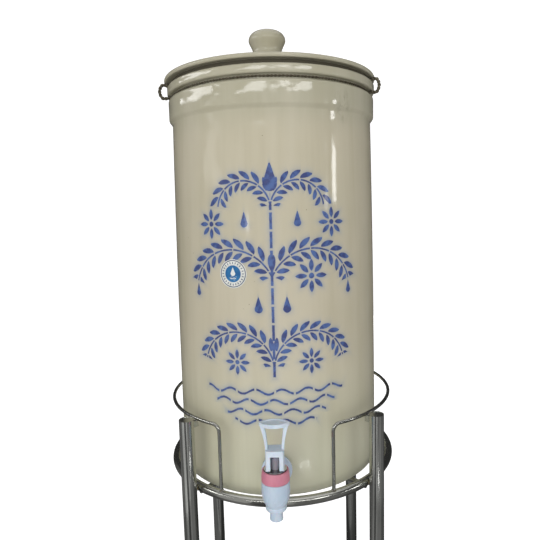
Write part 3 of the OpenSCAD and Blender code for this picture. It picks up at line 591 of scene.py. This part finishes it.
def wound_wire_tree():
    """Strands wound round a path; one strand on a straight path is a screw thread."""
    tree, given, result = new_tree("wound_wire", {
        "Strands": "NodeSocketInt", "Turns": "NodeSocketFloat", "Winding Radius": "NodeSocketFloat",
        "Wire Radius": "NodeSocketFloat", "Points": "NodeSocketInt", "Sides": "NodeSocketInt",
        "Material": "NodeSocketMaterial"})
    sizes = given.outputs
    line = add_node(tree, "GeometryNodeMeshToCurve", {0: sizes["Geometry"]})
    even = add_node(tree, "GeometryNodeResampleCurve", {"Curve": line.outputs[0], "Count": sizes["Points"]})
    copies = add_node(tree, "GeometryNodeDuplicateElements",
                      {"Geometry": even.outputs[0], "Amount": sizes["Strands"]}, domain="SPLINE")
    share = Number(tree, add_node(tree, "GeometryNodeSplineParameter").outputs["Factor"])
    start = Number(tree, copies.outputs["Duplicate Index"]) / Number(tree, sizes["Strands"])
    angle = (share * Number(tree, sizes["Turns"]) + start) * TAU
    normal = add_node(tree, "GeometryNodeInputNormal").outputs[0]
    tangent = add_node(tree, "GeometryNodeInputTangent").outputs[0]
    side = add_node(tree, "ShaderNodeVectorMath", {0: tangent, 1: normal}, operation="CROSS_PRODUCT")
    reach = Number(tree, sizes["Winding Radius"])
    first = add_node(tree, "ShaderNodeVectorMath",
                     {0: normal, "Scale": angle.op("COSINE") * reach}, operation="SCALE")
    second = add_node(tree, "ShaderNodeVectorMath",
                      {0: side.outputs[0], "Scale": angle.op("SINE") * reach}, operation="SCALE")
    offset = add_node(tree, "ShaderNodeVectorMath", {0: first.outputs[0], 1: second.outputs[0]})
    wound = add_node(tree, "GeometryNodeSetPosition",
                     {"Geometry": copies.outputs[0], "Offset": offset.outputs[0]})
    profile = add_node(tree, "GeometryNodeCurvePrimitiveCircle",
                       {"Resolution": sizes["Sides"], "Radius": sizes["Wire Radius"]})
    skin = add_node(tree, "GeometryNodeCurveToMesh",
                    {"Curve": wound.outputs[0], "Profile Curve": profile.outputs[0], "Fill Caps": True})
    real = add_node(tree, "GeometryNodeRealizeInstances", {0: skin.outputs[0]})
    painted = add_node(tree, "GeometryNodeSetMaterial",
                       {"Geometry": real.outputs[0], "Material": sizes["Material"]})
    tree.links.new(painted.outputs[0], result.inputs[0])
    return tree


def weld_tree():
    """Overlapping flat beads along a path, as a welding torch leaves them."""
    tree, given, result = new_tree("weld_ripples", {
        "Bead Radius": "NodeSocketFloat", "Step": "NodeSocketFloat", "Material": "NodeSocketMaterial"})
    sizes = given.outputs
    line = add_node(tree, "GeometryNodeMeshToCurve", {0: sizes["Geometry"]})
    stops = add_node(tree, "GeometryNodeCurveToPoints",
                     {"Curve": line.outputs[0], "Length": sizes["Step"]}, mode="LENGTH")
    bead = add_node(tree, "GeometryNodeMeshUVSphere",
                    {"Segments": 10, "Rings": 6, "Radius": sizes["Bead Radius"]})
    size = add_node(tree, "FunctionNodeRandomValue", {2: 0.85, 3: 1.15, "Seed": 4}, data_type="FLOAT")
    flat = add_node(tree, "ShaderNodeCombineXYZ", {0: size.outputs[1], 1: size.outputs[1], 2: 0.62})
    beads = add_node(tree, "GeometryNodeInstanceOnPoints",
                     {"Points": stops.outputs[0], "Instance": bead.outputs[0],
                      "Rotation": stops.outputs["Rotation"], "Scale": flat.outputs[0]})
    real = add_node(tree, "GeometryNodeRealizeInstances", {0: beads.outputs[0]})
    painted = add_node(tree, "GeometryNodeSetMaterial",
                       {"Geometry": real.outputs[0], "Material": sizes["Material"]})
    tree.links.new(painted.outputs[0], result.inputs[0])
    return tree


# ---- Build: finishes ----

glaze_painted = salt_glaze("crock_glaze", painted=True)
glaze = salt_glaze("vessel_glaze")
lid_glaze = salt_glaze("lid_glaze", lip_shade_below=RIM_HIGH.z + 5.3 * MM)
steel = polished_steel("leg_steel", srgb(196, 197, 193), 0.12)
ring_steel = polished_steel("ring_steel", srgb(176, 176, 170), 0.14, (1, 1, 1))
weld = weld_metal()
cap_rubber = dark_rubber("cap_rubber", srgb(34, 34, 34))
seal_rubber = dark_rubber("seal_rubber", srgb(58, 58, 60))
wire = iron_wire()
tap_plastic = moulded_plastic("tap_plastic", srgb(198, 212, 226), srgb(184, 200, 217), 0.26, TAP_AXIS.x)
handle_plastic = moulded_plastic("handle_plastic", srgb(212, 224, 235), srgb(198, 212, 226), 0.28)
collar_plastic = moulded_plastic("collar_plastic", srgb(214, 142, 158), srgb(200, 124, 144), 0.34)
stem_plastic = moulded_plastic("stem_plastic", srgb(186, 180, 188), srgb(158, 150, 162), 0.18, clear=0.25)
candle_plastic = moulded_plastic("candle_plastic", srgb(70, 110, 168), srgb(52, 92, 152), 0.4)
guide_plate = plated_metal()
bright_wire = spring_wire()
candle_ceramic = porous_ceramic()

for material, nodes in (
        (steel, (*LEGS, "leg_webs", "leg_plugs")),
        (ring_steel, ("support_ring", "guard_hoop", "cross_bar_long", "cross_bar_halves")),
        (cap_rubber, ("foot_caps",)),
        (seal_rubber, ("stem_seal", "outer_seal", "inner_seal", "valve_plug", "candle_washers")),
        (guide_plate, ("stem_guide",)),
        (bright_wire, ("valve_spring", "hinge_pin")),
        (tap_plastic, ("lock_nut",)),
        (stem_plastic, ("valve_stem",)),
        (candle_plastic, ("candle_base_left", "candle_base_right", "wing_nuts"))):
    for node in nodes:
        paint_node(node, material)

# ---- Build: stoneware ----

FIRED_EDGE = 48     # degrees past which an edge of stoneware or ceramic stays sharp

for node, material in (("crock", glaze_painted), ("upper_vessel", glaze), ("lid", lid_glaze)):
    piece = smooth_shaded(merged_copy(node + "_glazed", node), FIRED_EDGE)
    dress(piece, material, node)
for node in ("candle_shell_left", "candle_shell_right"):
    piece = smooth_shaded(merged_copy(node + "_fired", node), FIRED_EDGE)
    dress(piece, candle_ceramic, node)

# ---- Build: tap ----

# The skin's step in millimetres, fine but under 200,000 triangles a piece, and the rounds of softening.
for node, name, step, rounds, material, slot in (
        ("tap_body", "tap_body_moulded", 0.44, 3, tap_plastic, "tap_plastic"),
        ("tap_handle", "handle_moulded", 0.32, 10, handle_plastic, "tap_plastic"),
        ("collar_nut", "collar_nut_moulded", 0.4, 3, collar_plastic, "collar_plastic")):
    dress(soft_moulding(name, node, step, rounds), material, node)

# ---- Build: wires ----

winding = wound_wire_tree()
ripples = weld_tree()


def neck_loop():
    """The wire in the groove under the vessel's rim: two strands twisted together all the way round."""
    low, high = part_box("neck_wire")
    wire_r = (high.z - low.z) / 2
    radius = (high.x - low.x) / 2 - wire_r
    centre = (low + high) / 2
    path = [centre + Vector((radius * math.cos(a), radius * math.sin(a), 0))
            for a in (TAU * i / 180 for i in range(180))]
    piece = grown("neck_wire_twisted", path, winding, wire, closed=True, strands=2, turns=96.0,
                  winding_radius=wire_r * 0.46, wire_radius=wire_r * 0.5, points=1300, sides=7)
    return dress(piece, wire, "neck_wire")


def lifting_ear(node, facing, reach):
    """Two strands that come out of the groove, bow round the rim's edge and go back over it."""
    strand_r = 1.26 * MM
    wind_r = 1.0 * MM
    swell = 2.4 * MM
    foot = CROCK_HIGH.z + 2.52 * MM
    top = RIM_HIGH.z + 2.42 * MM
    bend = RIM_R - 2.2 * MM         # where the rim's rounded edge begins
    bow = (2.06 + reach) * MM
    turn = math.radians(facing) + CROCK_TURN
    out = Vector((math.cos(turn), math.sin(turn), 0))

    def place(radius, z):
        return Vector((CROCK_AXIS.x, CROCK_AXIS.y, z)) + out * radius

    path = [place(bend - 2.3 * MM, foot)]
    for step in range(37):
        a = math.radians(-90 + 5 * step)
        bulge = swell * (1 - math.cos(4 * a)) / 2 * (1 if a > 0 else -1)
        path.append(place(bend + bow * math.cos(a),
                          (foot + top) / 2 + (top - foot) / 2 * math.sin(a) + bulge))
    path.append(place(bend - 2.1 * MM, top))
    piece = grown(node + "_twisted", path, winding, wire, strands=2, turns=4.5,
                  winding_radius=wind_r * 0.97, wire_radius=strand_r * 0.98, points=150, sides=12)
    return dress(piece, wire, node)


neck_loop()
lifting_ear("ear_left", 194, 9.4)
lifting_ear("ear_right", -18, 8.2)

# ---- Build: welds of the stand ----


def leg_frame(name):
    """Where a leg meets the ring, with the directions out from the ring's middle and along the ring."""
    out = Vector((LEGS[name].x - RING.x, LEGS[name].y - RING.y, 0)).normalized()
    return Vector((LEGS[name].x, LEGS[name].y, RING.z)) - out * LEG_R, out, Vector((-out.y, out.x, 0))


def loop_round(centre, first, second, radius_a, radius_b=None, count=28):
    """A closed oval path round a point, across two directions."""
    radius_b = radius_b or radius_a
    angles = [TAU * i / count for i in range(count)]
    return [centre + first * (radius_a * math.cos(a)) + second * (radius_b * math.sin(a)) for a in angles]


def hoop_foot(side):
    """Where the hoop's wire ends on the ring's crest, beside the tap."""
    feet = [v.co for v in frame["nodes"]["guard_hoop"].data.vertices
            if v.co.z < HOOP_LOW.z + 0.1 * MM and v.co.x * side > 0]
    total = Vector((0, 0, 0))
    for point in feet:
        total += point
    return total / len(feet) + Vector((0, 0, 0.2 * MM))


def stand_welds():
    """Ripples where legs, ring, tabs, hoop and bars are welded."""
    up = Vector((0, 0, 1))
    beads = []      # each a path, whether it closes, and its beads' radius in millimetres
    hoop_z = HOOP_HIGH.z - HOOP_WIRE_R
    bar_z = middle("cross_bar_long").z
    for name in LEGS:
        touch, out, along = leg_frame(name)
        # Leg to ring.
        beads.append((loop_round(touch, along, up, 3.2 * MM, 4.0 * MM), True, 0.95))
        for side in (-1, 1):
            # Leg to tab, and tab to hoop.
            edge = touch - out * 0.3 * MM + along * side * 1.25 * MM
            stitch = [Vector((edge.x, edge.y, hoop_z - k * MM)) for k in (3, 5, 7, 9.5)]
            beads.append((stitch, False, 0.8))
            wire_side = touch - out * (5.6 * MM) + along * side * 1.2 * MM
            wire_side.z = hoop_z - 2.2 * MM
            under = [wire_side + out * k * MM for k in (-1.4, 0, 1.4)]
            beads.append((under, False, 0.6))
        # Cross bar to ring.
        bar_end = Vector((RING.x, RING.y, bar_z)) + out * (RING_R - 4.2 * MM)
        crown = [bar_end + (along * math.cos(a) + up * math.sin(a)) * 3.3 * MM
                 for a in (math.radians(20 * i) for i in range(10))]
        beads.append((crown, False, 0.7))
    # Hoop to ring, beside the tap.
    for side in (-1, 1):
        foot = hoop_foot(side)
        beads.append((loop_round(foot, Vector((1, 0, 0)), Vector((0, 1, 0)), 2.4 * MM), True, 0.75))
    pieces = []
    for number, (path, closed, radius) in enumerate(beads):
        pieces.append(grown(f"weld_{number}", path, ripples, weld, closed=closed,
                            bead_radius=radius * MM, step=radius * 0.75 * MM))
    return joined("stand_welds", pieces)


def joined(name, pieces):
    """Several meshes as one object."""
    shape = bmesh.new()
    for piece in pieces:
        shape.from_mesh(piece.data)
        bpy.data.objects.remove(piece)
    mesh = bpy.data.meshes.new(name)
    shape.to_mesh(mesh)
    shape.free()
    return smooth_shaded(join_scene(name, mesh), 60)


dress(stand_welds(), weld, body="stand")

# ---- Build: threads ----

STUD_R = 4.9 * MM
STUD_PITCH = 1.6 * MM


def screw_thread(name, start, end, radius, pitch, material, body):
    """A helical thread round a straight shank."""
    start, end = Vector(start), Vector(end)
    length = (end - start).length
    path = [start.lerp(end, i / 12) for i in range(13)]
    turns = length / pitch
    piece = grown(name, path, winding, material, strands=1, turns=turns, winding_radius=radius,
                  wire_radius=pitch * 0.3, points=int(turns * 20), sides=5)
    return dress(piece, material, body=body)


for side in ("left", "right"):
    low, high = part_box(f"candle_base_{side}")
    axis = (low + high) / 2
    nut_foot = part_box("wing_nuts")[0].z
    start = (axis.x, axis.y, low.z + 1.2 * MM)
    end = (axis.x, axis.y, nut_foot + 3.5 * MM)
    screw_thread(f"stud_thread_{side}", start, end, STUD_R, STUD_PITCH,
                 candle_plastic, "vessel")

# ---- Build: sticker ----

STICKER = (-45.0, 262.0)        # its middle, round the crock and above its foot, in millimetres
STICKER_R = 16.4
STICKER_FACES = (0.05, 0.22)    # its back and its front, off the wall


def round_sticker(centre, radius):
    """A thin disc that follows the crock's wall."""
    rings, spokes = 8, 48
    shape = bmesh.new()
    layers = []
    for out in STICKER_FACES:
        hub = shape.verts.new(on_crock(*centre, out))
        rows = [[shape.verts.new(on_crock(centre[0] + radius * r / rings * math.sin(TAU * s / spokes),
                                          centre[1] + radius * r / rings * math.cos(TAU * s / spokes), out))
                 for s in range(spokes)] for r in range(1, rings + 1)]
        layers.append(rows[-1])
        for s in range(spokes):
            shape.faces.new((hub, rows[0][s], rows[0][(s + 1) % spokes]))
            for inner, outer in zip(rows, rows[1:]):
                shape.faces.new((inner[s], outer[s], outer[(s + 1) % spokes], inner[(s + 1) % spokes]))
    for s in range(spokes):
        n = (s + 1) % spokes
        shape.faces.new((layers[0][s], layers[0][n], layers[1][n], layers[1][s]))
    bmesh.ops.recalc_face_normals(shape, faces=shape.faces)
    mesh = bpy.data.meshes.new("round_sticker")
    shape.to_mesh(mesh)
    shape.free()
    return smooth_shaded(join_scene("round_sticker", mesh), 50)


dress(round_sticker(STICKER, STICKER_R), printed_sticker(STICKER), body="crock")

# ---- Stage: floor, backdrop, lamps, room and camera ----


def blank_tree(owner):
    """The emptied node tree of a new material or world."""
    owner.use_nodes = True
    owner.node_tree.nodes.clear()
    return owner.node_tree


def seen(tree):
    """1 for what the camera sees, mirrored and through clear plastic too, and 0 for light on the object."""
    path = add_node(tree, "ShaderNodeLightPath")
    camera, glossy, through = (Number(tree, path.outputs[f"Is {ray} Ray"])
                               for ray in ("Camera", "Glossy", "Transmission"))
    return camera.max(glossy).max(through)


def shown_white(name):
    """White to the camera and in mirror images, with a trace of shading for shadows; pale matt to light."""
    material = bpy.data.materials.new(name)
    tree = blank_tree(material)
    matt = add_node(tree, "ShaderNodeBsdfDiffuse", {"Color": (0.8, 0.8, 0.8, 1)})
    faint = add_node(tree, "ShaderNodeBsdfDiffuse", {"Color": (0.4, 0.4, 0.4, 1)})
    glow = add_node(tree, "ShaderNodeEmission", {"Color": (1, 1, 1, 1), "Strength": 0.92})
    white = add_node(tree, "ShaderNodeAddShader", {0: glow.outputs[0], 1: faint.outputs[0]})
    both = add_node(tree, "ShaderNodeMixShader", {0: seen(tree), 1: matt.outputs[0], 2: white.outputs[0]})
    add_node(tree, "ShaderNodeOutputMaterial", {"Surface": both.outputs[0]})
    return material


def floor():
    """A pale floor that curves up into a backdrop behind."""
    back, turn, top = 3.0, 0.8, 4.0
    outline = [(-4.0, 0.0), (back - turn, 0.0)]
    outline += [(back - turn + turn * math.sin(math.radians(a)), turn - turn * math.cos(math.radians(a)))
                for a in range(10, 91, 10)]
    outline.append((back, top))
    verts = [(x, y, z - 0.0005) for x in (-4.0, 4.0) for y, z in outline]
    count = len(outline)
    faces = [(i, i + count, i + count + 1, i + 1) for i in range(count - 1)]
    mesh = bpy.data.meshes.new("floor")
    mesh.from_pydata(verts, [], faces)
    piece = smooth_shaded(join_scene("floor", mesh), 60)
    piece.data.materials.append(shown_white("floor_white"))


def world_light(strength):
    """White to the camera and in reflections, and a plain even level for everything else."""
    world = bpy.data.worlds.new("studio")
    bpy.context.scene.world = world
    tree = blank_tree(world)
    level = seen(tree) * (1.0 - strength) + strength
    light = add_node(tree, "ShaderNodeBackground", {"Color": (1, 1, 1, 1), "Strength": level})
    add_node(tree, "ShaderNodeOutputWorld", {"Surface": light.outputs[0]})


def soft_lamp(name, place, target, size, power):
    """A square lamp that lights the object without a hard mirror image of itself."""
    data = bpy.data.lights.new(name, "AREA")
    data.size = size
    data.energy = power
    lamp = bpy.data.objects.new(name, data)
    lamp.location = place
    lamp.rotation_euler = (Vector(target) - Vector(place)).to_track_quat("-Z", "Y").to_euler()
    lamp.visible_glossy = False
    bpy.context.scene.collection.objects.link(lamp)


def reflected_only(piece):
    """Leaves a stage piece to mirror images alone."""
    piece.visible_camera = False
    piece.visible_diffuse = False
    piece.visible_shadow = False
    piece.visible_transmission = False


def glowing(name, strength, ragged):
    """A plain glow, broken up by soft patches as far as ragged says."""
    material = bpy.data.materials.new(name)
    tree = blank_tree(material)
    place = add_node(tree, "ShaderNodeTexCoord").outputs["Object"]
    wide = add_node(tree, "ShaderNodeMapping", {"Vector": place, "Scale": (0.4, 0.4, 1.2)}).outputs[0]
    noise = add_node(tree, "ShaderNodeTexNoise", {"Vector": wide, "Scale": 4.2, "Detail": 5.0})
    patches = Number(tree, noise.outputs[0]).fade(0.44, 0.52) * ragged + (1.0 - ragged)
    glow = add_node(tree, "ShaderNodeEmission", {"Color": (1, 1, 1, 1), "Strength": patches * strength})
    add_node(tree, "ShaderNodeOutputMaterial", {"Surface": glow.outputs[0]})
    return material


def mirrored_strip(name, azimuth, width, edges, strength, ragged):
    """A glowing strip bent round the object, seen only in mirror images.

    Azimuth 0 is in front and grows to the right; each edge is a distance from the middle and a height.
    """
    count = max(2, int(width / 4))
    angles = [math.radians(azimuth - width / 2 + width * i / count) for i in range(count + 1)]
    verts = [(r * math.sin(a), -r * math.cos(a), z) for a in angles for r, z in edges]
    faces = [(2 * i, 2 * i + 1, 2 * i + 3, 2 * i + 2) for i in range(count)]
    mesh = bpy.data.meshes.new(name)
    mesh.from_pydata(verts, [], faces)
    piece = join_scene(name, mesh)
    piece.data.materials.append(glowing(name, strength, ragged))
    reflected_only(piece)


def card(name, azimuth, width, low, high, distance, strength, ragged=0.0):
    """An upright card, such as a window or a wall."""
    mirrored_strip(name, azimuth, width, ((distance, low), (distance, high)), strength, ragged)


def floor_fan(name, azimuth, width, near, far, strength, ragged=0.4, height=0.0005):
    """A flat sector of the room's floor, between two distances."""
    mirrored_strip(name, azimuth, width, ((near, height), (far, height)), strength, ragged)


def reflected_room():
    """What the steel and the glaze mirror: a dim room with lighter walls and floor in some directions."""
    card("dark_room", 0, 360, -1.0, 3.2, 2.4, 0.06)
    floor_split, floor_edge, wall = 0.62, 2.6, 2.35
    for name, azimuth, width, near, far in (
            ("left_rear", -114, 28, 0.13, 0.16), ("left_side", -81, 38, 0.17, 0.24),
            ("left_front", -46, 32, 0.27, 0.66), ("left_gap", -19, 22, 0.09, 0.16),
            ("front", 0, 16, 0.27, 0.66), ("right_front", 32, 48, 0.20, 0.28),
            ("right_side", 82, 52, 0.10, 0.17), ("rear", 170, 124, 0.06, 0.06)):
        floor_fan(f"{name}_near", azimuth, width, 0.0, floor_split, near)
        floor_fan(f"{name}_far", azimuth, width, floor_split, floor_edge, far)
        card(f"{name}_wall", azimuth, width, -0.8, 2.8, wall, far * 0.8)


def reflected_windows():
    """The bright windows, the small lamp and the glint on the floor that show in the glaze."""
    distance = 2.0
    for name, azimuth, width, low, high, strength, ragged in (
            ("left_window", -82, 56, 1.12, 1.45, 6.4, 1.0),
            ("left_low_window", -68, 22, 0.82, 1.08, 1.6, 0.9),
            ("middle_window", 4, 78, 1.15, 1.50, 6.4, 1.0),
            ("right_window", 69, 5, 0.72, 1.03, 11.0, 0.3),
            ("right_slit", 58, 5, 0.70, 1.01, 4.5, 0.9),
            ("small_lamp", -29, 3, 0.56, 0.66, 6.0, 0.0)):
        card(name, azimuth, width, low, high, distance, strength, ragged)
    floor_fan("floor_glint", 25, 11, 0.722, 0.742, 7.0, 0.5, height=0.002)


def front_camera():
    """The camera, with its small turn, dip, roll and sideways shift."""
    place = Vector((4.59, -684.71, 629.64)) * MM
    yaw, pitch, roll = (math.radians(a) for a in (0.97, -6.52, 1.29))
    ahead = Vector((math.sin(yaw) * math.cos(pitch), math.cos(yaw) * math.cos(pitch), math.sin(pitch)))
    level_right = Vector((math.cos(yaw), -math.sin(yaw), 0))
    level_down = ahead.cross(level_right)
    right = level_right * math.cos(roll) + level_down * math.sin(roll)
    down = level_down * math.cos(roll) - level_right * math.sin(roll)
    data = bpy.data.cameras.new("camera")
    data.sensor_width = 36.0
    data.lens = 33.73
    data.shift_x = -0.038
    data.clip_start = 0.05
    camera = bpy.data.objects.new("camera", data)
    axes = Matrix((right, -down, -ahead)).transposed().to_4x4()
    camera.matrix_world = Matrix.Translation(place) @ axes
    bpy.context.scene.collection.objects.link(camera)
    bpy.context.scene.camera = camera


floor()
world_light(0.40)
soft_lamp("key_lamp", (-0.8, -2.6, 0.8), (0, 0, 0.36), size=2.6, power=48)
soft_lamp("fill_lamp", (1.7, -1.8, 0.7), (0, 0, 0.3), size=1.4, power=7)
soft_lamp("rear_lamp", (0.4, 2.1, 1.0), (0, 0, 0.4), size=1.8, power=26)
reflected_room()
reflected_windows()
front_camera()
bpy.context.scene.view_settings.view_transform = "Standard"
